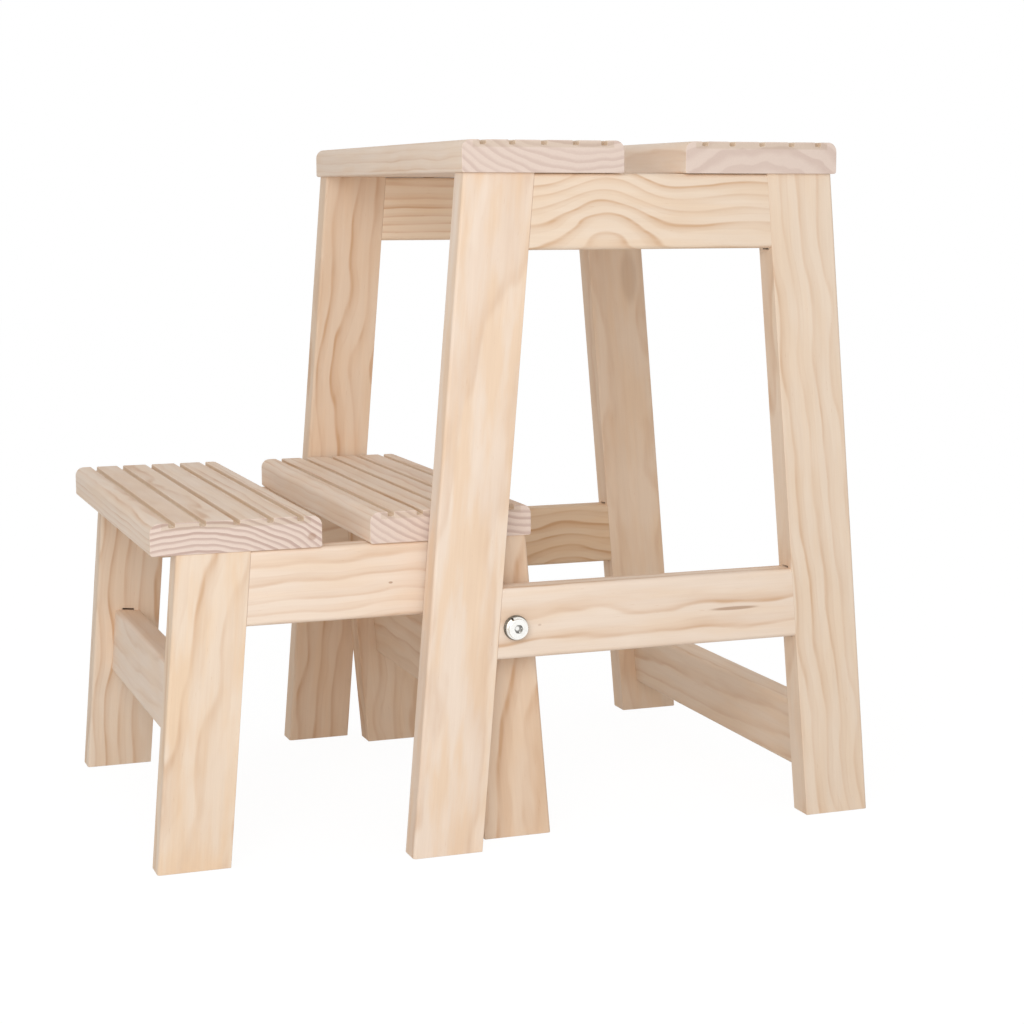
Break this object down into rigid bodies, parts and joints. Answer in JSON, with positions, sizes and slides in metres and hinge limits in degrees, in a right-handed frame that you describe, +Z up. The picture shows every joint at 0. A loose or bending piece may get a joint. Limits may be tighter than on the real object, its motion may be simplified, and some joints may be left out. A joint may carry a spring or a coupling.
{
  "type": "folding step stool chair",
  "caption": "Wooden step stool: a tall splayed-leg stool with a slatted seat, and a low slatted step that swings over on pivot bolts and nests inside it.",
  "frame": {"origin": "on the floor, in the middle of the length and the width of the stool as it stands open", "axes": "+Z up; +Y the way up the steps, so the low step stands out towards -Y; +X to the right of someone who faces the steps"},
  "size_m": [0.3574, 0.4826, 0.45],
  "materials": {
    "pine": "planed and sanded, unfinished",
    "beech": "fluted dowel, unfinished",
    "zinc": "bright zinc plated",
    "dull_zinc": "dull zinc plated",
    "nylon": "matt white nylon"
  },
  "bodies": {
    "tall_stool": {"tall_leg_front_right": "pine", "tall_leg_rear_right": "pine", "tall_leg_front_left": "pine", "tall_leg_rear_left": "pine", "tall_top_rail_right": "pine", "tall_top_rail_left": "pine", "tall_middle_rail_right": "pine", "tall_middle_rail_left": "pine", "tall_cross_rail_rear": "pine", "tall_slat_front": "pine", "tall_slat_rear": "pine", "tall_dowel_front_right_leg": "beech", "tall_dowel_front_right_rail": "beech", "tall_dowel_front_left_leg": "beech", "tall_dowel_front_left_rail": "beech", "tall_dowel_rear_right_leg": "beech", "tall_dowel_rear_right_rail": "beech", "tall_dowel_rear_left_leg": "beech", "tall_dowel_rear_left_rail": "beech", "pivot_bolt_right": "zinc", "pivot_bolt_left": "zinc", "pivot_lock_washer_right": "zinc", "pivot_lock_washer_left": "zinc", "pivot_washer_right": "dull_zinc", "pivot_washer_left": "dull_zinc", "pivot_spacer_right": "nylon", "pivot_spacer_left": "nylon", "pivot_inner_washer_right": "dull_zinc", "pivot_inner_washer_left": "dull_zinc", "pivot_nut_right": "zinc", "pivot_nut_left": "zinc"},
    "low_step": {"low_leg_front_right": "pine", "low_leg_rear_right": "pine", "low_leg_front_left": "pine", "low_leg_rear_left": "pine", "low_top_rail_right": "pine", "low_top_rail_left": "pine", "low_cross_rail_front": "pine", "low_cross_rail_rear": "pine", "low_slat_front": "pine", "low_slat_rear": "pine", "low_dowel_front_right_leg": "beech", "low_dowel_front_right_rail": "beech", "low_dowel_front_left_leg": "beech", "low_dowel_front_left_rail": "beech", "low_dowel_rear_right_leg": "beech", "low_dowel_rear_right_rail": "beech", "low_dowel_rear_left_leg": "beech", "low_dowel_rear_left_rail": "beech"}
  },
  "joints": [
    {"name": "fold_pivot", "type": "hinge", "parent": "tall_stool", "child": "low_step", "pos_m": [0, -0.01468, 0.145], "axis": [-1, 0, 0], "range_deg": [0, 180]}
  ]
}
